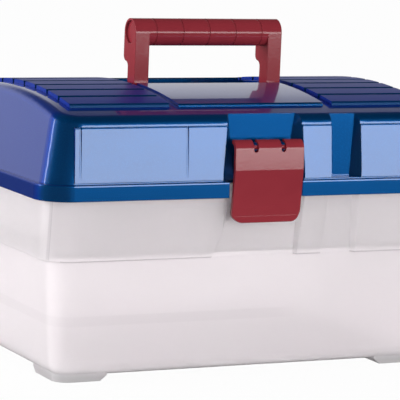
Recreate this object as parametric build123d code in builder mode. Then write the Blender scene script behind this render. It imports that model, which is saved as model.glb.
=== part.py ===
from build123d import *
from math import radians, tan
import os

# A portable plastic storage box with a crowned lid, a folding handle, a front latch
# and a lift-out tray. X runs along the front, Y from the front to the back, Z up.
# The origin lies on the ground, in the middle of the box. Sizes are in millimetres.

# Overall sizes
RIM_LENGTH = 340.0
RIM_DEPTH = 224.0
RIM_CORNER = 22.0
SEAT_HEIGHT = 140.8
STEP_HEIGHT = 88.0
FOOT_HEIGHT = 4.0

# Tub
TUB_WALL = 2.3
FLOOR_WALL = 2.6
UPPER_DRAFT = 2.0
LOWER_DRAFT = 4.8
STEP_OUT = 4.0
FLANGE_WIDTH = 4.0
FLANGE_THICKNESS = 3.5
TUB_CORNER_TOP = 20.0
TUB_CORNER_BOTTOM = 14.0
BASE_ROUND = 10.0
FOOT_LENGTH = 36.0
FOOT_DEPTH = 42.0
FOOT_INSET = 3.0
FOOT_ROOT = 6.0
FOOT_SLANT = 5.0

# Recesses of the tub, behind the latch and beside it. Each has its left edge at the
# top, the bend and the foot, and its right edge at the foot and the top
RECESS_BEND = 106.0
LATCH_RECESS_FLOOR = (-21.0, -27.0, -35.0, 30.5, 32.5)
LATCH_RECESS_MOUTH = (-30.2, -29.6, -38.0, 32.2, 36.0)
SIDE_RECESS_FLOOR = (57.5, 55.0, 52.5, 77.5, 77.5)
SIDE_RECESS_MOUTH = (55.5, 53.0, 50.5, 81.0, 81.0)

# Lid
LID_WALL = 2.2
SKIRT_WALL = 2.5
SEAT_GAP = 0.7
SKIRT_DROP = 9.0
RIM_LEDGE = 4.1
LID_END_DRAFT = 9.2
LID_FRONT_DRAFT = 3.5
LID_CORNER = 19.0
CROWN_RISE = 60.5
CROWN_RADIUS = 455.0
TOP_ROUND = 7.0

# Raised panels on the lid's front
PANEL_RAISE = 0.8
PANEL_LENGTH = 294.0
PANEL_BASE = 1.8
PANEL_HEIGHT = 38.5
LABEL_LINE = 1.2
LABEL_LINE_FOOT = 1.5
LABEL_LINES = (-142.8, -61.0)

# Pockets in the lid's front, with a trapezoid section that narrows towards the foot
POCKET_FLOOR = 12.7
POCKET_TOP_OPENING = 62.0
POCKET_FOOT_OPENING = 65.5
POCKET_TOP_FLOOR = 57.0
POCKET_FOOT_FLOOR = 40.0
GROOVE_TOP_LEFT = 53.5
GROOVE_FOOT_LEFT = 54.8
GROOVE_RIGHT = 79.2
GROOVE_TOP_FLOOR = 75.6
GROOVE_FOOT_FLOOR = 73.0
GROOVE_DEPTH = 11.0
GROOVE_SILL = 1.2

# Ribs and smooth panels on the crown
RIB_COUNT = 8
RIB_FIELD = 170.0
RIB_GAP = 2.6
RIB_HEIGHT = 2.8
RIB_BEVEL = 1.0
RIB_OUTER = 142.0
RIB_INNER = 65.5
DECK_HEIGHT = 2.2
DECK_HALF = 58.3
ROOT = 1.0

# Well of the folding handle
WELL_HALF = 62.0
WELL_FRONT = -12.4
WELL_BACK = 53.0
WELL_DEPTH = 18.8
WELL_CORNER = 2.0

# Handle, upright
HANDLE_HALF = 60.2
POST_WIDTH = 11.2
POST_FRONT = -11.6
POST_DEPTH = 12.4
GRIP_RADIUS = 10.1
GRIP_REACH = 45.5
SHOULDER_REACH = 28.0
NECK_REACH = 19.5
PIVOT_DROP = 6.8
PIVOT_RADIUS = 3.5
PIVOT_REACH = 5.6
PIVOT_BOSS = 6.0
PIVOT_BOSS_LENGTH = 7.0
RUNNING_FIT = 0.08
GRIP_GROOVES = 5
GRIP_GROOVE_PITCH = 21.6
GRIP_GROOVE_WIDTH = 1.2
GRIP_GROOVE_DEPTH = 0.4
GRIP_END_RIM = 1.6
GRIP_END_DEPTH = 1.8

# Latch
LATCH_WIDTH = 54.5
LATCH_WALL = 2.8
LATCH_PROUD = 4.0
LATCH_TOP_ROUND = 6.5
LATCH_BULGE_HEIGHT = 10.9
LATCH_BARREL_HEIGHT = 25.6
LATCH_WAIST_DROP = 15.8
LATCH_WAIST_BACK = 2.4
LATCH_NECK_DROP = 22.3
LATCH_NECK_BACK = 3.4
LATCH_FOOT_DROP = 26.8
LATCH_FOOT_BACK = 2.0
LATCH_CORNER = 8.0
LATCH_BAR = 1.8
LATCH_BAR_RISE = 1.5
LATCH_BAR_BACK = 4.7
LATCH_SLOT_SPACING = 22.0
LATCH_SLOT = 3.6
LATCH_SLOT_DROP = 2.0
LATCH_RIB = 2.0
LATCH_RIB_DEPTH = 3.6
LATCH_RIB_INSET = 2.6
TAB_WIDTH = 2.4
TAB_EYE = 3.3
TAB_HALF = 2.2
TAB_MOUTH = 3.2
NOTCH_HALF = 29.3
CATCH_HALF = 21.5
CATCH_DROP = 10.8
CATCH_WALL = 3.0
CATCH_GAP = 0.5
HOOK_HEIGHT = 4.0
HOOK_GAP = 0.6
CATCH_RIBS = 3

# Hinges at the back
HINGE_INSET = 70.0
HINGE_EYE = 4.2
HINGE_PIN = 2.0
HINGE_GAP = 0.3
HINGE_SIDE_GAP = 0.4
LID_KNUCKLE = 18.0
TUB_KNUCKLE = 8.0
KNUCKLE_ROOT = 9.0

# Lift-out tray and its loose dividers
TRAY_END_GAP = 1.4
TRAY_SIDE_GAP = 0.8
TRAY_SEAT_GAP = 0.2
TRAY_WALL = 1.8
TRAY_FLOOR = 2.0
TRAY_HEIGHT = 37.5
TRAY_CORNER = 15.0
TRAY_BEAM = 2.4
TRAY_BEAM_AT = 6.0
TRAY_GRIP_RISE = 24.0
TRAY_GRIP_LENGTH = 118.0
TRAY_HOLE_LENGTH = 84.0
TRAY_HOLE_HEIGHT = 20.0
TRAY_GRIP_ROUND = 12.0
GUIDE_DEPTH = 1.5
GUIDE_WIDTH = 1.4
DIVIDER_WALL = 1.6
DIVIDER_GAP = 0.2
DIVIDER_DROP = 2.5
FRONT_DIVIDERS = 3
BACK_DIVIDERS = 2

# Places that follow from the sizes
FLANGE_LENGTH = RIM_LENGTH - 2 * (SKIRT_WALL + SEAT_GAP)
FLANGE_DEPTH = RIM_DEPTH - 2 * (SKIRT_WALL + SEAT_GAP)
TUB_LENGTH = FLANGE_LENGTH - 2 * FLANGE_WIDTH
TUB_DEPTH = FLANGE_DEPTH - 2 * FLANGE_WIDTH
UPPER_SHRINK = 2 * (SEAT_HEIGHT - STEP_HEIGHT) * tan(radians(UPPER_DRAFT))
LOWER_SHRINK = 2 * (STEP_HEIGHT - FOOT_HEIGHT) * tan(radians(LOWER_DRAFT))
STEP_LENGTH = TUB_LENGTH - UPPER_SHRINK
STEP_DEPTH = TUB_DEPTH - UPPER_SHRINK
LEDGE_LENGTH = STEP_LENGTH - 2 * STEP_OUT
LEDGE_DEPTH = STEP_DEPTH - 2 * STEP_OUT
BASE_LENGTH = LEDGE_LENGTH - LOWER_SHRINK
BASE_DEPTH = LEDGE_DEPTH - LOWER_SHRINK
TUB_CORNER_STEP = (TUB_CORNER_TOP + TUB_CORNER_BOTTOM) / 2
RECESS_FACE = -LEDGE_DEPTH / 2
RIM_FRONT = -RIM_DEPTH / 2
SKIRT_BOTTOM = SEAT_HEIGHT - SKIRT_DROP
RIM_TOP = SEAT_HEIGHT + LID_WALL
CREST = SEAT_HEIGHT + CROWN_RISE
CROWN_CENTRE = CREST - CROWN_RADIUS
BODY_LENGTH = RIM_LENGTH - 2 * RIM_LEDGE
BODY_DEPTH = RIM_DEPTH - 2 * RIM_LEDGE
BODY_TOP = CREST + 2 * LID_WALL
BODY_HEIGHT = BODY_TOP - SEAT_HEIGHT
POCKET_FACE = RIM_FRONT + POCKET_FLOOR
GROOVE_FACE = RIM_FRONT + GROOVE_DEPTH
LATCH_FRONT = RIM_FRONT - LATCH_PROUD
HINGE_POSITION = RIM_LENGTH / 2 - HINGE_INSET
HINGE_Y = -LATCH_FRONT - HINGE_EYE
HINGE_Z = SKIRT_BOTTOM - HINGE_EYE - HINGE_GAP
PIVOT_Y = POST_FRONT + POST_DEPTH / 2
PIVOT_Z = CREST - PIVOT_DROP
GRIP_Y = POST_FRONT + GRIP_RADIUS
GRIP_Z = PIVOT_Z + GRIP_REACH
LATCH_BAR_Y = LATCH_FRONT + LATCH_BAR_BACK
LATCH_BAR_Z = SEAT_HEIGHT + LATCH_BARREL_HEIGHT + LATCH_BAR_RISE
CATCH_FRONT = LATCH_FRONT + LATCH_WAIST_BACK + LATCH_WALL + CATCH_GAP
CATCH_BOTTOM = SEAT_HEIGHT - CATCH_DROP
TRAY_BOTTOM = STEP_HEIGHT + TUB_WALL + TRAY_SEAT_GAP
TRAY_LENGTH = STEP_LENGTH - 2 * (TUB_WALL + TRAY_END_GAP)
TRAY_DEPTH = LEDGE_DEPTH - 2 * (TUB_WALL + TRAY_SIDE_GAP)
TRAY_TOP = TRAY_BOTTOM + TRAY_HEIGHT
DIVIDER_BOTTOM = TRAY_BOTTOM + TRAY_FLOOR + DIVIDER_GAP
DIVIDER_TOP = TRAY_TOP - DIVIDER_DROP


def crown(y, rise=0.0):
    """Height of the crown at a depth, or of a surface that lies over it."""
    radius = CROWN_RADIUS + rise
    return CROWN_CENTRE + (radius**2 - y**2) ** 0.5


def draft_loft(low, high):
    """Loft between two rounded rectangles, each given as height, length, depth, corner."""
    with BuildPart() as tier:
        for height, length, depth, corner in (low, high):
            with BuildSketch(Plane.XY.offset(height)):
                RectangleRounded(length, depth, corner)
        loft(ruled=True)
    return tier.part


def crown_slab(start, length, front, back, high):
    """Raised slab on the crown, with bevelled front and rear edges."""
    middle = (front + back) / 2
    with BuildPart() as slab:
        with BuildSketch(Plane.YZ.offset(start)):
            with BuildLine():
                Line((front, crown(front, high - RIB_BEVEL)), (front, crown(front, -ROOT)))
                ThreePointArc(
                    (front, crown(front, -ROOT)),
                    (middle, crown(middle, -ROOT)),
                    (back, crown(back, -ROOT)),
                )
                Polyline(
                    (back, crown(back, -ROOT)),
                    (back, crown(back, high - RIB_BEVEL)),
                    (back - RIB_BEVEL, crown(back - RIB_BEVEL, high)),
                )
                ThreePointArc(
                    (back - RIB_BEVEL, crown(back - RIB_BEVEL, high)),
                    (middle, crown(middle, high)),
                    (front + RIB_BEVEL, crown(front + RIB_BEVEL, high)),
                )
                Line(
                    (front + RIB_BEVEL, crown(front + RIB_BEVEL, high)),
                    (front, crown(front, high - RIB_BEVEL)),
                )
            make_face()
        extrude(amount=length)
    return slab.part


# Tub: the outside below the step and above it
lower_tier = draft_loft(
    (FOOT_HEIGHT, BASE_LENGTH, BASE_DEPTH, TUB_CORNER_BOTTOM),
    (STEP_HEIGHT, LEDGE_LENGTH, LEDGE_DEPTH, TUB_CORNER_STEP),
)
upper_tier = draft_loft(
    (STEP_HEIGHT, STEP_LENGTH, STEP_DEPTH, TUB_CORNER_STEP + STEP_OUT),
    (SEAT_HEIGHT, TUB_LENGTH, TUB_DEPTH, TUB_CORNER_TOP),
)


def front_recesses(margin, low):
    """Cutters for the tub's front recesses, which widen from floor to mouth, plus a margin."""
    top = SEAT_HEIGHT - FLANGE_THICKNESS
    foot = STEP_HEIGHT - low
    with BuildPart() as recesses:
        for floor_edges, mouth_edges in (
            (LATCH_RECESS_FLOOR, LATCH_RECESS_MOUTH),
            (SIDE_RECESS_FLOOR, SIDE_RECESS_MOUTH),
        ):
            for face, edges in (
                (RECESS_FACE + margin, floor_edges),
                (-TUB_DEPTH / 2 + margin, mouth_edges),
            ):
                left_top, left_bend, left_foot, right_foot, right_top = edges
                with BuildSketch(Plane.XZ.offset(-face)):
                    with BuildLine():
                        Polyline(
                            (left_top - margin, top),
                            (left_bend - margin, RECESS_BEND),
                            (left_foot - margin, foot),
                            (right_foot + margin, foot),
                            (right_top + margin, top),
                            close=True,
                        )
                    make_face()
            loft(ruled=True)
        extrude(recesses.faces().group_by(Axis.Y)[0], amount=STEP_OUT)
    return recesses.part


# The hollow of the tub, which keeps one wall behind every outside face
tub_walls = 2 * TUB_WALL
lower_space = draft_loft(
    (
        FOOT_HEIGHT + FLOOR_WALL,
        BASE_LENGTH - tub_walls,
        BASE_DEPTH - tub_walls,
        TUB_CORNER_BOTTOM - TUB_WALL,
    ),
    (
        STEP_HEIGHT + TUB_WALL,
        LEDGE_LENGTH - tub_walls,
        LEDGE_DEPTH - tub_walls,
        TUB_CORNER_STEP - TUB_WALL,
    ),
)
upper_space = draft_loft(
    (
        STEP_HEIGHT + TUB_WALL,
        STEP_LENGTH - tub_walls,
        STEP_DEPTH - tub_walls,
        TUB_CORNER_STEP + STEP_OUT - TUB_WALL,
    ),
    (
        SEAT_HEIGHT,
        TUB_LENGTH - tub_walls,
        TUB_DEPTH - tub_walls,
        TUB_CORNER_TOP - TUB_WALL,
    ),
)

with BuildPart() as lower_hollow:
    add(lower_space)
    fillet(lower_hollow.faces().sort_by(Axis.Z)[0].edges(), BASE_ROUND - TUB_WALL)

with BuildPart() as upper_hollow:
    add(upper_space)
    add(front_recesses(TUB_WALL, TUB_WALL), mode=Mode.SUBTRACT)
    with BuildSketch(Plane.XY.offset(SEAT_HEIGHT - FLANGE_THICKNESS)):
        with Locations((0, (RECESS_FACE + TUB_WALL - RIM_DEPTH) / 2)):
            Rectangle(RIM_LENGTH, RIM_DEPTH + RECESS_FACE + TUB_WALL)
    extrude(amount=FLANGE_THICKNESS, mode=Mode.SUBTRACT)

# Feet at the four corners, with slanted inner ends
with BuildPart() as feet:
    foot_top = FOOT_HEIGHT + FOOT_ROOT
    with BuildSketch():
        RectangleRounded(
            BASE_LENGTH - 2 * FOOT_INSET,
            BASE_DEPTH - 2 * FOOT_INSET,
            TUB_CORNER_BOTTOM - FOOT_INSET,
        )
    extrude(amount=foot_top)
    for plane, base_size, foot_size in (
        (Plane.XZ, BASE_LENGTH, FOOT_LENGTH),
        (Plane.YZ, BASE_DEPTH, FOOT_DEPTH),
    ):
        gap = base_size / 2 - foot_size
        with BuildSketch(plane):
            with BuildLine():
                Polyline(
                    (-gap, 0),
                    (-gap + FOOT_SLANT, FOOT_HEIGHT),
                    (-gap + FOOT_SLANT, foot_top),
                    (gap - FOOT_SLANT, foot_top),
                    (gap - FOOT_SLANT, FOOT_HEIGHT),
                    (gap, 0),
                    close=True,
                )
            make_face()
        extrude(amount=BASE_LENGTH, both=True, mode=Mode.SUBTRACT)

with BuildPart() as base_tub:
    add(lower_tier)
    fillet(base_tub.faces().sort_by(Axis.Z)[0].edges(), BASE_ROUND)
    add(upper_tier)
    add(front_recesses(0.0, 0.0), mode=Mode.SUBTRACT)
    # Flange that carries the lid, cut back where the latch passes
    with BuildSketch(Plane.XY.offset(SEAT_HEIGHT - FLANGE_THICKNESS)):
        RectangleRounded(FLANGE_LENGTH, FLANGE_DEPTH, RIM_CORNER - SKIRT_WALL - SEAT_GAP)
        with Locations((0, -FLANGE_DEPTH / 2)):
            Rectangle(2 * NOTCH_HALF, 2 * FLANGE_WIDTH, mode=Mode.SUBTRACT)
    extrude(amount=FLANGE_THICKNESS)
    # Catch for the latch: a lip that hangs from the flange on short ribs
    with BuildSketch(Plane.YZ.offset(-CATCH_HALF)):
        with BuildLine():
            Polyline(
                (RECESS_FACE + ROOT, SEAT_HEIGHT),
                (CATCH_FRONT, SEAT_HEIGHT),
                (CATCH_FRONT, CATCH_BOTTOM),
                (CATCH_FRONT + CATCH_WALL, CATCH_BOTTOM),
                (CATCH_FRONT + CATCH_WALL, SEAT_HEIGHT - FLANGE_THICKNESS),
                (RECESS_FACE + ROOT, SEAT_HEIGHT - FLANGE_THICKNESS),
                close=True,
            )
        make_face()
    extrude(amount=2 * CATCH_HALF)
    rib_height = CATCH_DROP - FLANGE_THICKNESS
    rib_depth = RECESS_FACE + ROOT - CATCH_FRONT
    with BuildSketch(Plane.XY.offset(CATCH_BOTTOM)):
        with Locations((0, CATCH_FRONT + rib_depth / 2)):
            with GridLocations(CATCH_HALF - TUB_WALL / 2, 1, CATCH_RIBS, 1):
                Rectangle(TUB_WALL, rib_depth)
    extrude(amount=rib_height)
    add(feet.part)
    # Hinge lugs on the back wall, under the lid's skirt
    lug_shift = (LID_KNUCKLE + TUB_KNUCKLE) / 2 + HINGE_SIDE_GAP
    lug_planes = [
        side * HINGE_POSITION + shift - TUB_KNUCKLE / 2
        for side in (-1, 1)
        for shift in (-lug_shift, lug_shift)
    ]
    for lug_start in lug_planes:
        with BuildSketch(Plane.YZ.offset(lug_start)):
            with Locations((HINGE_Y, HINGE_Z)):
                Circle(HINGE_EYE)
            with BuildLine():
                Polyline(
                    (STEP_DEPTH / 2 - ROOT, HINGE_Z - KNUCKLE_ROOT),
                    (HINGE_Y, HINGE_Z - HINGE_EYE),
                    (HINGE_Y, HINGE_Z + HINGE_EYE),
                    (STEP_DEPTH / 2 - ROOT, HINGE_Z + HINGE_EYE),
                    close=True,
                )
            make_face()
            with Locations((HINGE_Y, HINGE_Z)):
                Circle(HINGE_PIN + RUNNING_FIT, mode=Mode.SUBTRACT)
        extrude(amount=TUB_KNUCKLE)
    add(lower_hollow.part, mode=Mode.SUBTRACT)
    add(upper_hollow.part, mode=Mode.SUBTRACT)
base_tub.part.label = "base_tub"


def crowned_block(inset, rise, corner_round):
    """The lid's body between its ledge and the crown, shrunk on all sides."""
    top_length = BODY_LENGTH - 2 * BODY_HEIGHT * tan(radians(LID_END_DRAFT))
    top_depth = BODY_DEPTH - 2 * BODY_HEIGHT * tan(radians(LID_FRONT_DRAFT))
    top_corner = LID_CORNER * top_length / BODY_LENGTH
    body = draft_loft(
        (SEAT_HEIGHT, BODY_LENGTH - 2 * inset, BODY_DEPTH - 2 * inset, LID_CORNER - inset),
        (BODY_TOP, top_length - 2 * inset, top_depth - 2 * inset, top_corner - inset),
    )
    with BuildPart() as block:
        add(body)
        with BuildSketch(Plane.YZ.offset(-RIM_LENGTH / 2)):
            with BuildLine():
                Polyline(
                    (RIM_FRONT, crown(RIM_FRONT, rise)),
                    (RIM_FRONT, SEAT_HEIGHT - SKIRT_DROP),
                    (-RIM_FRONT, SEAT_HEIGHT - SKIRT_DROP),
                    (-RIM_FRONT, crown(RIM_FRONT, rise)),
                )
                ThreePointArc(
                    (-RIM_FRONT, crown(RIM_FRONT, rise)),
                    (0, crown(0, rise)),
                    (RIM_FRONT, crown(RIM_FRONT, rise)),
                )
            make_face()
        extrude(amount=RIM_LENGTH, mode=Mode.INTERSECT)
        fillet(block.faces().sort_by(Axis.Z)[-1].edges(), corner_round)
    return block.part


lid_block = crowned_block(0.0, 0.0, TOP_ROUND)
lid_hollow = crowned_block(LID_WALL, -LID_WALL, TOP_ROUND - LID_WALL)


def pocket(margin):
    """The latch's pocket above the rim, which opens to the front and narrows inwards."""
    face = POCKET_FACE + margin
    mouth = RIM_FRONT - LATCH_PROUD
    wall = RIM_FRONT + RIM_LEDGE
    with BuildPart() as cutter:
        for height, opening, floor_width in (
            (RIM_TOP, POCKET_FOOT_OPENING, POCKET_FOOT_FLOOR),
            (CREST, POCKET_TOP_OPENING, POCKET_TOP_FLOOR),
        ):
            half_mouth = opening / 2 + margin
            half_floor = floor_width / 2 + margin
            with BuildSketch(Plane.XY.offset(height)):
                with BuildLine():
                    Polyline(
                        (-half_mouth, mouth),
                        (half_mouth, mouth),
                        (half_mouth, wall),
                        (half_floor, face),
                        (-half_floor, face),
                        (-half_mouth, wall),
                        close=True,
                    )
                make_face()
        loft(ruled=True)
    return cutter.part


def rim_notch(margin):
    """The gap in the rim for the latch, grown by a margin to the sides, back and top."""
    with BuildPart() as cutter:
        with BuildSketch(Plane.XY.offset(SKIRT_BOTTOM)):
            with Locations((0, RIM_FRONT)):
                Rectangle(2 * (NOTCH_HALF + margin), 2 * (POCKET_FLOOR + margin))
        extrude(amount=RIM_TOP + margin - SKIRT_BOTTOM)
    return cutter.part


def groove(margin, foot=SEAT_HEIGHT):
    """The plain groove beside the latch: a steep left wall and a flared right one."""
    face = GROOVE_FACE + margin
    with BuildPart() as cutter:
        for height, left, floor_right in (
            (foot, GROOVE_FOOT_LEFT, GROOVE_FOOT_FLOOR),
            (CREST, GROOVE_TOP_LEFT, GROOVE_TOP_FLOOR),
        ):
            with BuildSketch(Plane.XY.offset(height)):
                with BuildLine():
                    Polyline(
                        (left - margin, RIM_FRONT),
                        (GROOVE_RIGHT + margin, RIM_FRONT),
                        (GROOVE_RIGHT + margin, RIM_FRONT + RIM_LEDGE),
                        (floor_right + margin, face),
                        (left - margin, face),
                        close=True,
                    )
                make_face()
        loft(ruled=True)
    return cutter.part


# Inner walls of the pocket, the groove and the handle's well
with BuildPart() as lid_liners:
    add(pocket(LID_WALL))
    add(rim_notch(LID_WALL))
    add(groove(LID_WALL))
    with BuildSketch(Plane.XY.offset(CREST - WELL_DEPTH - LID_WALL)):
        with Locations((0, (WELL_FRONT + WELL_BACK) / 2)):
            RectangleRounded(
                2 * (WELL_HALF + LID_WALL),
                WELL_BACK - WELL_FRONT + 2 * LID_WALL,
                WELL_CORNER + LID_WALL,
            )
    extrude(amount=WELL_DEPTH + LID_WALL)
    for side in (-1, 1):
        boss_start = WELL_HALF if side > 0 else -WELL_HALF - PIVOT_BOSS_LENGTH
        with BuildSketch(Plane.YZ.offset(boss_start)):
            with Locations((PIVOT_Y, PIVOT_Z)):
                Circle(PIVOT_BOSS)
        extrude(amount=PIVOT_BOSS_LENGTH)
    add(lid_block, mode=Mode.INTERSECT)

with BuildPart() as lid_cuts:
    add(pocket(0.0))
    add(rim_notch(0.0))
    add(groove(0.0, RIM_TOP + GROOVE_SILL))
    with BuildSketch(Plane.XY.offset(CREST - WELL_DEPTH)):
        with Locations((0, (WELL_FRONT + WELL_BACK) / 2)):
            RectangleRounded(2 * WELL_HALF, WELL_BACK - WELL_FRONT, WELL_CORNER)
    extrude(amount=2 * WELL_DEPTH)
    with BuildSketch(Plane.YZ.offset(-WELL_HALF - PIVOT_REACH)):
        with Locations((PIVOT_Y, PIVOT_Z)):
            Circle(PIVOT_RADIUS + RUNNING_FIT)
    extrude(amount=2 * (WELL_HALF + PIVOT_REACH))

# Raised panels of the front, as one slanted sheet that the pockets divide
with BuildPart() as panel_sheet:
    panel_low = RIM_TOP + PANEL_BASE - PANEL_RAISE
    panel_high = panel_low + PANEL_HEIGHT
    slant = tan(radians(LID_FRONT_DRAFT))
    wall_low = RIM_FRONT + RIM_LEDGE + (panel_low - SEAT_HEIGHT) * slant
    wall_high = wall_low + PANEL_HEIGHT * slant
    with BuildSketch(Plane.YZ.offset(-PANEL_LENGTH / 2)):
        with BuildLine():
            Polyline(
                (wall_low - PANEL_RAISE, panel_low),
                (wall_low + ROOT, panel_low),
                (wall_high + ROOT, panel_high),
                (wall_high - PANEL_RAISE, panel_high),
                close=True,
            )
        make_face()
    extrude(amount=PANEL_LENGTH)
    # Two label lines, cut full depth at the top and fading out near the foot
    foot_share = LABEL_LINE_FOOT / (panel_high - panel_low)
    foot_face = wall_low - PANEL_RAISE + (wall_high - wall_low) * foot_share
    for line_at in LABEL_LINES:
        with BuildSketch(Plane.YZ.offset(line_at - LABEL_LINE / 2)):
            with BuildLine():
                Polyline(
                    (foot_face, panel_low + LABEL_LINE_FOOT),
                    (wall_high, panel_high),
                    (wall_low - 2 * PANEL_RAISE, panel_high),
                    close=True,
                )
            make_face()
        extrude(amount=LABEL_LINE, mode=Mode.SUBTRACT)
    add(lid_hollow, mode=Mode.SUBTRACT)

with BuildPart() as lid:
    add(lid_block)
    with BuildSketch(Plane.XY.offset(SKIRT_BOTTOM)):
        RectangleRounded(RIM_LENGTH, RIM_DEPTH, RIM_CORNER)
    extrude(amount=SKIRT_DROP + LID_WALL)
    with BuildSketch(Plane.XY.offset(SKIRT_BOTTOM)):
        RectangleRounded(
            RIM_LENGTH - 2 * SKIRT_WALL, RIM_DEPTH - 2 * SKIRT_WALL, RIM_CORNER - SKIRT_WALL
        )
    extrude(amount=SKIRT_DROP, mode=Mode.SUBTRACT)
    add(lid_hollow, mode=Mode.SUBTRACT)
    add(lid_liners.part)
    add(panel_sheet.part)
    # Ribs on both sides of the smooth centre panels
    rib_pitch = RIB_FIELD / RIB_COUNT
    rib_edges = [-RIB_FIELD / 2 + i * rib_pitch + RIB_GAP / 2 for i in range(RIB_COUNT)]
    rib_length = RIB_OUTER - RIB_INNER
    for rib_start in (-RIB_OUTER, RIB_INNER):
        for edge in rib_edges:
            add(crown_slab(rib_start, rib_length, edge, edge + rib_pitch - RIB_GAP, RIB_HEIGHT))
    deck_edge = RIB_FIELD / 2 - RIB_GAP / 2
    for deck_front, deck_back in ((-deck_edge, WELL_FRONT), (WELL_BACK, deck_edge)):
        add(crown_slab(-DECK_HALF, 2 * DECK_HALF, deck_front, deck_back, DECK_HEIGHT))
    add(lid_cuts.part, mode=Mode.SUBTRACT)
    # Hooks that hold the latch's bar, open to the front
    for tab_at in (-LATCH_SLOT_SPACING / 2, LATCH_SLOT_SPACING / 2):
        with BuildSketch(Plane.YZ.offset(tab_at - TAB_WIDTH / 2)):
            with Locations((LATCH_BAR_Y, LATCH_BAR_Z)):
                Circle(TAB_EYE)
            with BuildLine():
                Polyline(
                    (LATCH_BAR_Y, LATCH_BAR_Z - TAB_HALF),
                    (POCKET_FACE + ROOT, LATCH_BAR_Z - 2 * TAB_HALF),
                    (POCKET_FACE + ROOT, LATCH_BAR_Z + TAB_HALF),
                    (LATCH_BAR_Y, LATCH_BAR_Z + TAB_HALF),
                    close=True,
                )
            make_face()
            with Locations((LATCH_BAR_Y, LATCH_BAR_Z)):
                Circle(LATCH_BAR + RUNNING_FIT, mode=Mode.SUBTRACT)
            with Locations((LATCH_BAR_Y - TAB_EYE, LATCH_BAR_Z)):
                Rectangle(2 * TAB_EYE, TAB_MOUTH, mode=Mode.SUBTRACT)
        extrude(amount=TAB_WIDTH)
    # Hinge knuckles outside the skirt at the back
    for side in (-1, 1):
        with BuildSketch(Plane.YZ.offset(side * HINGE_POSITION - LID_KNUCKLE / 2)):
            with Locations((HINGE_Y, HINGE_Z)):
                Circle(HINGE_EYE)
            with BuildLine():
                Polyline(
                    (HINGE_Y + HINGE_EYE, HINGE_Z),
                    (HINGE_Y + HINGE_EYE, SEAT_HEIGHT - HINGE_EYE),
                    (-RIM_FRONT, SEAT_HEIGHT),
                    (-RIM_FRONT - SKIRT_WALL, SEAT_HEIGHT),
                    (-RIM_FRONT - SKIRT_WALL, HINGE_Z),
                    close=True,
                )
            make_face()
            with Locations((HINGE_Y, HINGE_Z)):
                Circle(HINGE_PIN + RUNNING_FIT, mode=Mode.SUBTRACT)
        extrude(amount=LID_KNUCKLE)
lid.part.label = "lid"


def handle_post(start, length):
    """Post of the handle over a length, with the grip's round section at its head."""
    foot = POST_DEPTH / 2
    back = PIVOT_Y + foot
    shoulder = PIVOT_Z + SHOULDER_REACH
    neck = PIVOT_Z + NECK_REACH
    head_back = GRIP_Y + GRIP_RADIUS
    bend = ((head_back + back) / 2, (shoulder + neck) / 2)
    with BuildPart() as post:
        with BuildSketch(Plane.YZ.offset(start)):
            with BuildLine():
                Line((POST_FRONT, PIVOT_Z), (POST_FRONT, GRIP_Z))
                ThreePointArc((POST_FRONT, GRIP_Z), (GRIP_Y, GRIP_Z + GRIP_RADIUS), (head_back, GRIP_Z))
                Line((head_back, GRIP_Z), (head_back, shoulder))
                TangentArc((head_back, shoulder), bend, tangent=(0, -1))
                TangentArc(bend, (back, neck), tangent=(0, 1), tangent_from_first=False)
                Line((back, neck), (back, PIVOT_Z))
                ThreePointArc((back, PIVOT_Z), (PIVOT_Y, PIVOT_Z - foot), (POST_FRONT, PIVOT_Z))
            make_face()
        extrude(amount=length)
    return post.part


# Handle: half a grip with its post, hollow end and stub pin, mirrored to the other side
with BuildPart() as carry_handle:
    grip_end = HANDLE_HALF - POST_WIDTH
    with BuildSketch(Plane.YZ):
        with Locations((GRIP_Y, GRIP_Z)):
            Circle(GRIP_RADIUS - GRIP_GROOVE_DEPTH)
    extrude(amount=grip_end)
    for i in range(GRIP_GROOVES // 2 + 1):
        land_start = i * GRIP_GROOVE_PITCH + GRIP_GROOVE_WIDTH / 2
        land_end = min(land_start + GRIP_GROOVE_PITCH - GRIP_GROOVE_WIDTH, grip_end)
        with BuildSketch(Plane.YZ.offset(land_start)):
            with Locations((GRIP_Y, GRIP_Z)):
                Circle(GRIP_RADIUS)
        extrude(amount=land_end - land_start)
    add(handle_post(grip_end, POST_WIDTH))
    with BuildSketch(Plane.YZ.offset(HANDLE_HALF - GRIP_END_DEPTH)):
        with Locations((GRIP_Y, GRIP_Z)):
            Circle(GRIP_RADIUS - GRIP_END_RIM)
    extrude(amount=GRIP_END_DEPTH, mode=Mode.SUBTRACT)
    pin_root = HANDLE_HALF - POST_WIDTH / 2
    pin_tip = WELL_HALF + PIVOT_REACH - SEAT_GAP
    with BuildSketch(Plane.YZ.offset(pin_root)):
        with Locations((PIVOT_Y, PIVOT_Z)):
            Circle(PIVOT_RADIUS)
    extrude(amount=pin_tip - pin_root)
    mirror(about=Plane.YZ)
carry_handle.part.label = "carry_handle"

# Latch: a bent plate with a bar behind its head and a hook at the height of the catch
LATCH_HEAD_Z = SEAT_HEIGHT + LATCH_BARREL_HEIGHT
LATCH_HEAD_Y = LATCH_FRONT + LATCH_PROUD / 5 + LATCH_TOP_ROUND
LATCH_BENDS = (
    (LATCH_HEAD_Y - LATCH_TOP_ROUND, LATCH_HEAD_Z),
    (LATCH_FRONT, SEAT_HEIGHT + LATCH_BULGE_HEIGHT),
    (LATCH_FRONT + LATCH_WAIST_BACK, SEAT_HEIGHT - LATCH_WAIST_DROP),
    (LATCH_FRONT + LATCH_NECK_BACK, SEAT_HEIGHT - LATCH_NECK_DROP),
    (LATCH_FRONT + LATCH_FOOT_BACK, SEAT_HEIGHT - LATCH_FOOT_DROP),
)
LATCH_INSIDE = [(y + LATCH_WALL, z) for y, z in reversed(LATCH_BENDS)]
WAIST_Y, WAIST_Z = LATCH_BENDS[2]


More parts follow.
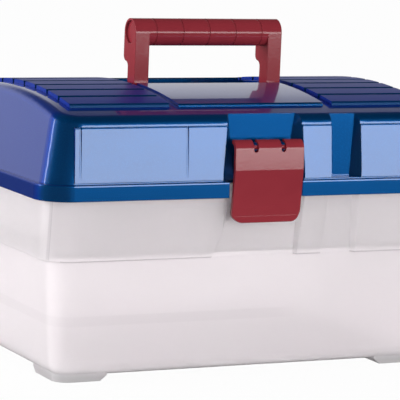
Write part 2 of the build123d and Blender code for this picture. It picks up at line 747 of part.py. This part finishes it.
def head_arc(radius):
    """Rounded head of the latch plate, from its front to its top."""
    ThreePointArc(
        (LATCH_HEAD_Y - radius, LATCH_HEAD_Z),
        (LATCH_HEAD_Y - radius / 2**0.5, LATCH_HEAD_Z + radius / 2**0.5),
        (LATCH_HEAD_Y, LATCH_HEAD_Z + radius),
    )


with BuildPart() as front_latch:
    with BuildSketch(Plane.YZ.offset(-LATCH_WIDTH / 2)):
        with BuildLine():
            head_arc(LATCH_TOP_ROUND)
            Line(
                (LATCH_HEAD_Y, LATCH_HEAD_Z + LATCH_TOP_ROUND),
                (LATCH_HEAD_Y, LATCH_HEAD_Z + LATCH_TOP_ROUND - LATCH_WALL),
            )
            head_arc(LATCH_TOP_ROUND - LATCH_WALL)
            Polyline(*LATCH_BENDS, *LATCH_INSIDE)
        make_face()
    extrude(amount=LATCH_WIDTH)
    fillet(front_latch.edges().filter_by(Axis.Y).group_by(Axis.Z)[0], LATCH_CORNER)
    # Two ribs behind the plate, which also carry the ends of the bar
    rib_outer = LATCH_WIDTH / 2 - LATCH_RIB_INSET
    rib_back = WAIST_Y + LATCH_WALL + LATCH_RIB_DEPTH
    rib_foot = SEAT_HEIGHT - LATCH_FOOT_DROP + LATCH_CORNER
    for rib_at in (-rib_outer, rib_outer - LATCH_RIB):
        with BuildSketch(Plane.YZ.offset(rib_at)):
            with BuildLine():
                Polyline(
                    (LATCH_HEAD_Y - LATCH_TOP_ROUND + LATCH_WALL / 2, LATCH_HEAD_Z),
                    (LATCH_FRONT + LATCH_WALL / 2, SEAT_HEIGHT + LATCH_BULGE_HEIGHT),
                    (WAIST_Y + LATCH_WALL / 2, WAIST_Z),
                    (WAIST_Y + LATCH_WALL / 2, rib_foot),
                    (rib_back, WAIST_Z),
                    (rib_back, SEAT_HEIGHT),
                    (LATCH_HEAD_Y, LATCH_HEAD_Z - LATCH_TOP_ROUND),
                    (LATCH_HEAD_Y, LATCH_HEAD_Z + LATCH_TOP_ROUND - LATCH_WALL / 2),
                    close=True,
                )
            make_face()
        extrude(amount=LATCH_RIB)
    # Hook that passes under the catch
    hook_top = CATCH_BOTTOM - HOOK_GAP
    hook_tip = CATCH_FRONT + CATCH_WALL
    with BuildSketch(Plane.YZ.offset(-CATCH_HALF)):
        with BuildLine():
            Polyline(
                (WAIST_Y + LATCH_WALL / 2, hook_top),
                (hook_tip, hook_top),
                (hook_tip, hook_top - HOOK_HEIGHT / 2),
                (WAIST_Y + LATCH_WALL / 2, hook_top - HOOK_HEIGHT),
                close=True,
            )
        make_face()
    extrude(amount=2 * CATCH_HALF)
    # Round-ended slots for the lid's two hooks, open to the top and bridged by the bar
    slot_centre = LATCH_HEAD_Z - LATCH_SLOT_DROP + LATCH_SLOT / 2
    with BuildSketch(Plane.XZ.offset(-LATCH_FRONT)):
        for slot_at in (-LATCH_SLOT_SPACING / 2, LATCH_SLOT_SPACING / 2):
            with Locations((slot_at, slot_centre)):
                Circle(LATCH_SLOT / 2)
            with Locations((slot_at, slot_centre + LATCH_TOP_ROUND)):
                Rectangle(LATCH_SLOT, 2 * LATCH_TOP_ROUND)
    extrude(amount=-3 * LATCH_TOP_ROUND, mode=Mode.SUBTRACT)
    with BuildSketch(Plane.YZ.offset(-rib_outer)):
        with Locations((LATCH_BAR_Y, LATCH_BAR_Z)):
            Circle(LATCH_BAR)
    extrude(amount=2 * rib_outer)
front_latch.part.label = "front_latch"

# Hinge pins
hinge_pins = []
for pin_name, side in (("hinge_pin_left", -1), ("hinge_pin_right", 1)):
    pin_span = LID_KNUCKLE + 2 * (HINGE_SIDE_GAP + TUB_KNUCKLE)
    with BuildPart() as hinge_pin:
        with BuildSketch(Plane.YZ.offset(side * HINGE_POSITION - pin_span / 2)):
            with Locations((HINGE_Y, HINGE_Z)):
                Circle(HINGE_PIN)
        extrude(amount=pin_span)
        chamfer(hinge_pin.faces().filter_by(Plane.YZ).edges(), HINGE_PIN / 5)
    hinge_pin.part.label = pin_name
    hinge_pins.append(hinge_pin.part)


def divider_places(count):
    """Middles of the dividers that split the tray's length evenly."""
    pitch = (TRAY_LENGTH - 2 * TRAY_WALL) / (count + 1)
    return [(i - (count - 1) / 2) * pitch for i in range(count)]


BEAM_FRONT = TRAY_BEAM_AT - TRAY_BEAM / 2
BEAM_BACK = TRAY_BEAM_AT + TRAY_BEAM / 2
TRAY_INNER = TRAY_DEPTH / 2 - TRAY_WALL
ROWS = (
    ("front", FRONT_DIVIDERS, -TRAY_INNER, BEAM_FRONT),
    ("back", BACK_DIVIDERS, BEAM_BACK, TRAY_INNER),
)

# Tray with a middle beam that rises to a hand hole, and guides for the dividers
with BuildPart() as lift_out_tray:
    with BuildSketch(Plane.XY.offset(TRAY_BOTTOM)):
        RectangleRounded(TRAY_LENGTH, TRAY_DEPTH, TRAY_CORNER)
    extrude(amount=TRAY_HEIGHT)
    with BuildSketch(Plane.XY.offset(TRAY_BOTTOM + TRAY_FLOOR)):
        RectangleRounded(
            TRAY_LENGTH - 2 * TRAY_WALL, TRAY_DEPTH - 2 * TRAY_WALL, TRAY_CORNER - TRAY_WALL
        )
    extrude(amount=TRAY_HEIGHT - TRAY_FLOOR, mode=Mode.SUBTRACT)
    with BuildSketch(Plane.XZ.offset(-BEAM_BACK)):
        beam_middle = (TRAY_BOTTOM + TRAY_TOP) / 2
        with Locations((0, beam_middle)):
            Rectangle(TRAY_LENGTH - TRAY_WALL, TRAY_HEIGHT)
        grip_height = TRAY_HEIGHT + TRAY_GRIP_RISE
        with Locations((0, TRAY_BOTTOM + grip_height / 2)):
            RectangleRounded(TRAY_GRIP_LENGTH, grip_height, TRAY_GRIP_ROUND)
        hole_middle = TRAY_TOP + TRAY_GRIP_RISE / 2 - TRAY_WALL
        with Locations((0, hole_middle)):
            RectangleRounded(
                TRAY_HOLE_LENGTH, TRAY_HOLE_HEIGHT, TRAY_HOLE_HEIGHT / 2.2, mode=Mode.SUBTRACT
            )
    extrude(amount=TRAY_BEAM)
    guide_height = TRAY_HEIGHT - TRAY_FLOOR - DIVIDER_DROP
    guide_shift = (DIVIDER_WALL + GUIDE_WIDTH) / 2 + DIVIDER_GAP
    with BuildSketch(Plane.XY.offset(TRAY_BOTTOM + TRAY_FLOOR)):
        for row_name, row_count, row_front, row_back in ROWS:
            for place in divider_places(row_count):
                for guide_y in (row_front + GUIDE_DEPTH / 2, row_back - GUIDE_DEPTH / 2):
                    with Locations((place - guide_shift, guide_y), (place + guide_shift, guide_y)):
                        Rectangle(GUIDE_WIDTH, GUIDE_DEPTH)
    extrude(amount=guide_height)
lift_out_tray.part.label = "lift_out_tray"

# Loose dividers, one in each pair of guides
tray_dividers = []
for row_name, row_count, row_front, row_back in ROWS:
    for number, place in enumerate(divider_places(row_count), start=1):
        with BuildPart() as tray_divider:
            with BuildSketch(Plane.XY.offset(DIVIDER_BOTTOM)):
                with Locations((place, (row_front + row_back) / 2)):
                    Rectangle(DIVIDER_WALL, row_back - row_front - 2 * DIVIDER_GAP)
            extrude(amount=DIVIDER_TOP - DIVIDER_BOTTOM)
            fillet(tray_divider.edges().filter_by(Axis.X).group_by(Axis.Z)[-1], GUIDE_DEPTH)
        tray_divider.part.label = f"tray_divider_{row_name}_{number}"
        tray_dividers.append(tray_divider.part)

os.makedirs("parts", exist_ok=True)
pieces = [
    base_tub.part,
    lid.part,
    carry_handle.part,
    front_latch.part,
    *hinge_pins,
    lift_out_tray.part,
    *tray_dividers,
]
for piece in pieces:
    export_step(piece, f"parts/{piece.label}.step")
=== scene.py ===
import math

import bpy
from mathutils import Matrix, Vector

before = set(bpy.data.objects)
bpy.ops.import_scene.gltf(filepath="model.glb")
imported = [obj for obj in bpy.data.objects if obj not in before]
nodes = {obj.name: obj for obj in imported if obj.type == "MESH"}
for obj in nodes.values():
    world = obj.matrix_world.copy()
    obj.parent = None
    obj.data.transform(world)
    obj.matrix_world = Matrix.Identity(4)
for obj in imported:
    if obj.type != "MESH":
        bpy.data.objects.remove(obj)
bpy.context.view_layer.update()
scene = bpy.context.scene

# Heights and places on the lid that its finish and its painted sheen follow, in metres
RIM_TOP = 0.1430
RIM_LIP = 0.0013
PANEL_TOP = 0.1825
PANEL_LIP = 0.0012
PANEL_BACK = 0.1015
CROWN_FOOT = 0.1925
RIB_INNER = 0.0645
RIB_OUTER = 0.1425
RIB_FIELD = 0.0865

# Places on the tub that its painted shade and its milkier recess sides follow, in metres
STEP_TOP = 0.0880
STEP_LINE_HALF = 0.0006
CORNER_LINE = 0.1580
CORNER_LINE_WIDTH = 0.0010
CORNER_FADE = 0.008
FACE_LINE = 0.0990
FOOT_LOW = 0.002
FOOT_HIGH = 0.008
BAND_LOW = 0.0415
BAND_HIGH = 0.0475
BAND_FADE = 0.0012
BAND_END = 0.020
BAND_OUT = 0.040
RETURNS_OUTER = 0.120
RETURNS_OUT = 0.122

# Widths over which a finish changes, in metres
SHARP = 0.0003
SOFT = 0.0004
GENTLE = 0.001
EDGE_ROUND = 0.0006
TUB_EDGE_ROUND = 0.0009

# Colours, linear
BLUE = (0.001, 0.076, 0.262, 1.0)
BLUE_DEEP = (0.001, 0.068, 0.235, 1.0)
# Painted sheen: the two violet colours below stand in for how the pearl lid looks on faces turned
# away from the front, and on the rib tops.
BLUE_VIOLET_PAINTED_SHEEN = (0.002, 0.042, 0.400, 1.0)
BLUE_RIB_PAINTED_SHEEN = (0.012, 0.056, 0.540, 1.0)
BLUE_FLAKE = (0.004, 0.130, 0.400, 1.0)
RED = (0.220, 0.024, 0.033, 1.0)
RED_DEEP = (0.198, 0.020, 0.029, 1.0)
TUB = (0.985, 0.945, 0.962, 1.0)
TUB_SHADE = (0.970, 0.925, 0.945, 1.0)
# Near black, mixed into the tub as painted shade.
TUB_PAINTED_SHADE = (0.0, 0.0, 0.01, 1.0)
TRAY = (0.97, 0.955, 0.965, 1.0)
TRAY_SHADE = (0.96, 0.945, 0.955, 1.0)
STEEL = (0.42, 0.42, 0.43, 1.0)
STEEL_BRIGHT = (0.62, 0.62, 0.63, 1.0)
FLOOR = (0.60, 0.60, 0.61, 1.0)
FLOOR_BRIGHT = (0.63, 0.63, 0.64, 1.0)


class Graph:
    """A small helper that adds nodes to a tree and joins them."""

    def __init__(self, owner, output, place):
        owner.use_nodes = True
        self.owner = owner
        self.tree = owner.node_tree
        self.tree.nodes.clear()
        self.output = self.add(output)
        self.place = self.add("ShaderNodeTexCoord").outputs[place]
        self.x, self.y, self.z = self.split(self.place)

    def add(self, kind, **settings):
        node = self.tree.nodes.new(kind)
        for key, value in settings.items():
            setattr(node, key, value)
        return node

    def join(self, source, target):
        self.tree.links.new(source, target)

    def put(self, value, target):
        """Joins a socket, or sets a constant."""
        if isinstance(value, bpy.types.NodeSocket):
            self.join(value, target)
        else:
            target.default_value = value

    def close(self, surface):
        self.join(surface, self.output.inputs["Surface"])
        return self.owner

    def split(self, vector):
        node = self.add("ShaderNodeSeparateXYZ")
        self.join(vector, node.inputs[0])
        return node.outputs

    def math(self, operation, *values, clamp=False):
        node = self.add("ShaderNodeMath", operation=operation, use_clamp=clamp)
        for index, value in enumerate(values):
            self.put(value, node.inputs[index])
        return node.outputs[0]

    def times(self, first, second):
        return self.math("MULTIPLY", first, second)

    def plus(self, first, second):
        return self.math("ADD", first, second)

    def size(self, value):
        return self.math("ABSOLUTE", value)

    def facing(self):
        """How far the surface faces along each axis of the object."""
        return self.split(self.add("ShaderNodeTexCoord").outputs["Normal"])

    def noise(self, scale, detail=2.0, roughness=0.5, stretch=None):
        source = self.place
        if stretch:
            mapping = self.add("ShaderNodeMapping")
            self.join(self.place, mapping.inputs["Vector"])
            mapping.inputs["Scale"].default_value = stretch
            source = mapping.outputs[0]
        node = self.add("ShaderNodeTexNoise")
        self.join(source, node.inputs["Vector"])
        node.inputs["Scale"].default_value = scale
        node.inputs["Detail"].default_value = detail
        node.inputs["Roughness"].default_value = roughness
        return node.outputs["Fac"]

    def ramp(self, value, low, high, out_low=0.0, out_high=1.0):
        node = self.add("ShaderNodeMapRange", clamp=True, interpolation_type="SMOOTHSTEP")
        self.join(value, node.inputs["Value"])
        for name, number in zip(
            ("From Min", "From Max", "To Min", "To Max"), (low, high, out_low, out_high)
        ):
            node.inputs[name].default_value = number
        return node.outputs[0]

    def above(self, value, place, soft):
        """0 up to a place along an axis, 1 a little past it."""
        return self.ramp(value, place, place + soft)

    def below(self, value, place, soft):
        """1 up to a place along an axis, 0 a little past it."""
        return self.ramp(value, place, place + soft, 1.0, 0.0)

    def within(self, value, low, high, soft=SHARP):
        """1 between two places along an axis, 0 outside them."""
        return self.times(self.ramp(value, low - soft, low), self.below(value, high, soft))

    def blend(self, factor, first, second):
        node = self.add("ShaderNodeMix", data_type="RGBA")
        for index, value in ((0, factor), (6, first), (7, second)):
            self.put(value, node.inputs[index])
        return node.outputs[2]

    def bump(self, height, strength, distance, normal=None):
        node = self.add("ShaderNodeBump")
        self.join(height, node.inputs["Height"])
        node.inputs["Strength"].default_value = strength
        node.inputs["Distance"].default_value = distance
        if normal is not None:
            self.join(normal, node.inputs["Normal"])
        return node.outputs[0]

    def bevel(self, radius):
        node = self.add("ShaderNodeBevel", samples=4)
        node.inputs["Radius"].default_value = radius
        return node.outputs[0]


def surface(name):
    """A helper on a new material, in the object's coordinates."""
    return Graph(bpy.data.materials.new(name), "ShaderNodeOutputMaterial", "Object")


def dress(material, *names):
    """Puts one material into all the slots of carried-over nodes."""
    for name in names:
        mesh = nodes[name].data
        if not mesh.materials:
            mesh.materials.append(material)
        for index in range(len(mesh.materials)):
            mesh.materials[index] = material


def pearl_blue():
    """Glossy pearl plastic: polished panels, satin ribs, fine flakes and faint flow marks, with a
    painted sheen that turns violet on faces away from the front and on the rib tops.
    """
    g = surface("lid_blue")
    shader = g.add("ShaderNodeBsdfPrincipled")
    across = g.size(g.x)
    along = g.size(g.y)
    # Painted sheen by facing: faces towards the front or back keep the blue, other faces take a
    # violet colour, and rib tops a brighter violet.
    front = g.ramp(g.size(g.facing()[1]), 0.15, 0.55)
    field = g.times(g.within(across, RIB_INNER, RIB_OUTER), g.below(along, RIB_FIELD, SHARP))
    ribs = g.times(field, g.ramp(g.z, CROWN_FOOT - SHARP, CROWN_FOOT))

    flow = g.ramp(g.noise(7.0, 3.0, 0.55, (1.0, 1.0, 2.2)), 0.35, 0.65)
    glint = g.ramp(g.noise(1500.0, 1.0, 0.5), 0.45, 0.75, 0.0, 0.25)
    # The painted sheen is mixed into the base colour here.
    tint = g.blend(front, BLUE_VIOLET_PAINTED_SHEEN, g.blend(flow, BLUE, BLUE_DEEP))
    tint = g.blend(g.times(ribs, g.ramp(front, 0.0, 1.0, 1.0, 0.0)), tint, BLUE_RIB_PAINTED_SHEEN)
    g.join(g.blend(glint, tint, BLUE_FLAKE), shader.inputs["Base Color"])

    scuff = g.ramp(g.noise(45.0, 4.0, 0.65), 0.58, 0.80, 0.0, 0.05)
    worn = g.plus(g.times(ribs, 0.22), scuff)
    g.join(g.math("ADD", worn, 0.36, clamp=True), shader.inputs["Roughness"])
    g.join(g.plus(g.times(ribs, 0.30), g.times(scuff, 0.6)), shader.inputs["Coat Roughness"])
    g.join(g.ramp(ribs, 0.0, 1.0, 1.0, 0.30), shader.inputs["Coat Weight"])

    panel_lip = g.times(
        g.ramp(g.z, PANEL_TOP - PANEL_LIP, PANEL_TOP), g.above(along, PANEL_BACK, SHARP)
    )
    lips = g.plus(g.ramp(g.z, RIM_TOP - RIM_LIP, RIM_TOP), panel_lip)
    lipped = g.bump(g.times(lips, -1.0), 1.0, 0.00011, g.bevel(EDGE_ROUND))
    wave = g.bump(g.noise(14.0, 1.0, 0.4), 0.10, 0.0010, lipped)
    texture = g.times(g.noise(700.0, 2.0, 0.6), g.plus(g.times(ribs, 0.9), 0.05))
    normal = g.bump(texture, 0.25, 0.0002, wave)
    g.join(normal, shader.inputs["Normal"])
    g.join(normal, shader.inputs["Coat Normal"])
    shader.inputs["Metallic"].default_value = 0.80
    shader.inputs["Specular IOR Level"].default_value = 0.10
    return g.close(shader.outputs[0])


def trim_red():
    """Red moulded plastic with a fine grain, faint flow marks and scuffs."""
    g = surface("trim_red")
    shader = g.add("ShaderNodeBsdfPrincipled")
    flow = g.ramp(g.noise(11.0, 3.0, 0.55, (1.0, 1.0, 2.0)), 0.35, 0.65)
    grain = g.noise(520.0, 2.0, 0.6)
    scuff = g.ramp(g.noise(55.0, 4.0, 0.65), 0.60, 0.80, 0.0, 0.08)
    worn = g.math("ADD", g.times(grain, 0.05), g.plus(scuff, 0.09), clamp=True)
    g.join(g.blend(flow, RED, RED_DEEP), shader.inputs["Base Color"])
    g.join(worn, shader.inputs["Roughness"])
    g.join(g.bump(grain, 0.10, 0.0002, g.bevel(EDGE_ROUND)), shader.inputs["Normal"])
    shader.inputs["Specular IOR Level"].default_value = 0.42
    return g.close(shader.outputs[0])


def frosted(name, base, shade, clear, roughness, details=None):
    """Frosted clear plastic, with cloudy areas and a fine grain."""
    g = surface(name)
    shader = g.add("ShaderNodeBsdfPrincipled")
    cloud = g.noise(9.0, 3.0, 0.6, (1.0, 1.0, 1.8))
    fine = g.noise(520.0, 2.0, 0.6)
    tint = g.blend(g.ramp(cloud, 0.3, 0.7), base, shade)
    if details:
        tint, clear = details(g, tint, clear)
    g.join(tint, shader.inputs["Base Color"])
    g.join(
        g.math("MULTIPLY_ADD", fine, 0.08, roughness, clamp=True), shader.inputs["Roughness"]
    )
    g.join(g.bump(fine, 0.10, 0.0002, g.bevel(TUB_EDGE_ROUND)), shader.inputs["Normal"])
    g.put(clear, shader.inputs["Transmission Weight"])
    shader.inputs["IOR"].default_value = 1.35
    return g.close(shader.outputs[0])


def tub_details(g, tint, clear):
    """Painted shade: dark lines down the upper corners and under the step, darker towards the
    foot and in a faint band low down; and milkier sides to the recesses.
    """
    across = g.size(g.x)
    along = g.size(g.y)
    upper = g.above(g.z, STEP_TOP, GENTLE)
    # Painted shade: a dark line down each upper corner, fading inwards, in place of a dark
    # reflection.
    corner = g.within(across, CORNER_LINE, CORNER_LINE + CORNER_LINE_WIDTH, SOFT)
    fade = g.times(
        g.ramp(across, CORNER_LINE - CORNER_FADE, CORNER_LINE), g.below(across, CORNER_LINE, SOFT)
    )
    # Painted shadow: a thin dark line under the step.
    step = g.times(
        g.within(g.z, STEP_TOP - STEP_LINE_HALF, STEP_TOP + STEP_LINE_HALF),
        g.above(along, FACE_LINE, SOFT),
    )
    # Painted shade: darker towards the foot, next to the floor.
    foot = g.ramp(g.z, FOOT_LOW, FOOT_HIGH, 1.0, 0.0)
    # Painted shade: a faint darker band low down, fading out a little right of the middle.
    band = g.times(
        g.within(g.z, BAND_LOW, BAND_HIGH, BAND_FADE), g.ramp(g.x, BAND_END, BAND_OUT, 1.0, 0.0)
    )
    # The painted shade is summed here and mixed towards near black.
    painted_shade = g.plus(g.times(g.times(upper, corner), 0.20), g.times(g.times(upper, fade), 0.10))
    for mask, amount in ((step, 0.30), (foot, 0.22), (band, 0.05)):
        painted_shade = g.plus(painted_shade, g.times(mask, amount))
    shown = g.blend(g.math("MINIMUM", painted_shade, 1.0), tint, TUB_PAINTED_SHADE)
    sideways = g.ramp(g.size(g.facing()[0]), 0.35, 0.75)
    recessed = g.ramp(across, RETURNS_OUTER, RETURNS_OUT, 1.0, 0.0)
    returns = g.times(g.times(sideways, upper), recessed)
    return shown, g.ramp(returns, 0.0, 1.0, clear, 0.48)


def wire_steel():
    """Drawn steel wire with fine lines along its length."""
    g = surface("pin_steel")
    shader = g.add("ShaderNodeBsdfPrincipled")
    lines = g.noise(900.0, 2.0, 0.5, (0.05, 1.0, 1.0))
    g.join(g.blend(lines, STEEL, STEEL_BRIGHT), shader.inputs["Base Color"])
    g.join(g.ramp(lines, 0.0, 1.0, 0.22, 0.42), shader.inputs["Roughness"])
    g.join(g.bump(lines, 0.2, 0.0001), shader.inputs["Normal"])
    shader.inputs["Metallic"].default_value = 1.0
    return g.close(shader.outputs[0])


dress(pearl_blue(), "lid")
dress(trim_red(), "carry_handle", "front_latch")
dress(frosted("tub_frosted", TUB, TUB_SHADE, 0.72, 0.30, tub_details), "base_tub")
tray_names = [name for name in nodes if name.startswith(("lift_out_tray", "tray_divider"))]
dress(frosted("tray_frosted", TRAY, TRAY_SHADE, 0.85, 0.20), *tray_names)
dress(wire_steel(), "hinge_pin_left", "hinge_pin_right")

# Floor: white in views and through clear plastic, with a faint shadow, and dim in reflections
FLOOR_HALF = 12.0
floor_mesh = bpy.data.meshes.new("floor")
floor_mesh.from_pydata(
    [
        (-FLOOR_HALF, -FLOOR_HALF, 0),
        (FLOOR_HALF, -FLOOR_HALF, 0),
        (FLOOR_HALF, FLOOR_HALF, 0),
        (-FLOOR_HALF, FLOOR_HALF, 0),
    ],
    [],
    [(0, 1, 2, 3)],
)
floor = bpy.data.objects.new("floor", floor_mesh)
scene.collection.objects.link(floor)


def rays(g):
    """What the camera or a clear wall shows, and what a reflection shows, each as 1 or 0."""
    path = g.add("ShaderNodeLightPath").outputs
    direct = g.math("MAXIMUM", path["Is Camera Ray"], path["Is Transmission Ray"])
    return direct, path["Is Glossy Ray"]


def pale_floor():
    """Pale matte floor; a reflection shows it dim near the object and brighter far behind."""
    g = surface("floor_pale")
    direct, mirrored = rays(g)
    matte = g.add("ShaderNodeBsdfDiffuse")
    g.join(g.blend(g.noise(30.0), FLOOR, FLOOR_BRIGHT), matte.inputs["Color"])
    far = g.ramp(g.y, 1.0, 6.0, 0.04, 0.50)
    white = g.add("ShaderNodeEmission")
    g.join(g.math("MAXIMUM", direct, g.times(mirrored, far)), white.inputs["Strength"])
    paint = g.add("ShaderNodeMixShader")
    g.join(g.times(g.math("MAXIMUM", direct, mirrored), 0.97), paint.inputs[0])
    g.join(matte.outputs[0], paint.inputs[1])
    g.join(white.outputs[0], paint.inputs[2])
    return g.close(paint.outputs[0])


def studio_world():
    """Even fill; white in views, and in reflections bright only low down behind the object."""
    g = Graph(bpy.data.worlds.new("studio"), "ShaderNodeOutputWorld", "Generated")
    direct, mirrored = rays(g)
    low = g.ramp(g.z, 0.30, 0.52, 0.90, 0.04)
    behind = g.ramp(g.y, -0.10, 0.35, 0.06, 1.0)
    fill = g.ramp(g.y, -0.6, 0.6, 0.55, 0.90)
    strength = g.add("ShaderNodeMix")
    g.join(mirrored, strength.inputs[0])
    g.join(fill, strength.inputs[2])
    g.join(g.times(low, behind), strength.inputs[3])
    backdrop = g.add("ShaderNodeBackground")
    g.join(g.math("MAXIMUM", direct, strength.outputs[0]), backdrop.inputs["Strength"])
    return g.close(backdrop.outputs[0])


floor_mesh.materials.append(pale_floor())
scene.world = studio_world()

MIDDLE = Vector((0.0, 0.0, 0.13))


def lamp(name, azimuth, elevation, distance, width, height, power, reflected):
    """Soft box that faces the object; azimuth 0 is in front and 90 at its right-hand end."""
    data = bpy.data.lights.new(name, "AREA")
    data.shape = "RECTANGLE"
    data.size = width
    data.size_y = height
    data.energy = power
    light = bpy.data.objects.new(name, data)
    scene.collection.objects.link(light)
    a = math.radians(azimuth)
    e = math.radians(elevation)
    away = Vector((math.sin(a) * math.cos(e), -math.cos(a) * math.cos(e), math.sin(e)))
    light.location = MIDDLE + away * distance
    light.rotation_euler = away.to_track_quat("Z", "Y").to_euler()
    light.visible_glossy = reflected


lamp("front_strip", 27.0, 3.8, 2.6, 1.5, 0.47, 14.6, True)
lamp("front_fill", -8.0, 8.0, 3.0, 2.4, 1.2, 58.0, False)
lamp("side_strip", -111.0, 6.0, 2.4, 0.22, 1.2, 5.5, True)
lamp("side_fill", -105.0, 10.0, 3.0, 2.0, 1.2, 105.0, False)

# Camera at the photograph's angle
YAW = math.radians(26.37)
PITCH = math.radians(8.04)
ROLL = math.radians(2.34)
CAMERA_PLACE = Vector((-0.8345, -1.6897, 0.3798))
LENS = 227.92
SENSOR_WIDTH = 36.0
CLIP_NEAR = 0.05
CLIP_FAR = 60.0
ahead = Vector(
    (math.sin(YAW) * math.cos(PITCH), math.cos(YAW) * math.cos(PITCH), -math.sin(PITCH))
)
level = Vector((math.cos(YAW), -math.sin(YAW), 0.0))
upward = level.cross(ahead)
right = level * math.cos(ROLL) + upward * math.sin(ROLL)
up = upward * math.cos(ROLL) - level * math.sin(ROLL)
camera_data = bpy.data.cameras.new("camera")
camera = bpy.data.objects.new("camera", camera_data)
scene.collection.objects.link(camera)
scene.camera = camera
camera_data.sensor_fit = "HORIZONTAL"
camera_data.sensor_width = SENSOR_WIDTH
camera_data.lens = LENS
camera_data.clip_start = CLIP_NEAR
camera_data.clip_end = CLIP_FAR
turn = Matrix((right, up, -ahead)).transposed().to_4x4()
camera.matrix_world = Matrix.Translation(CAMERA_PLACE) @ turn

scene.view_settings.view_transform = "Standard"
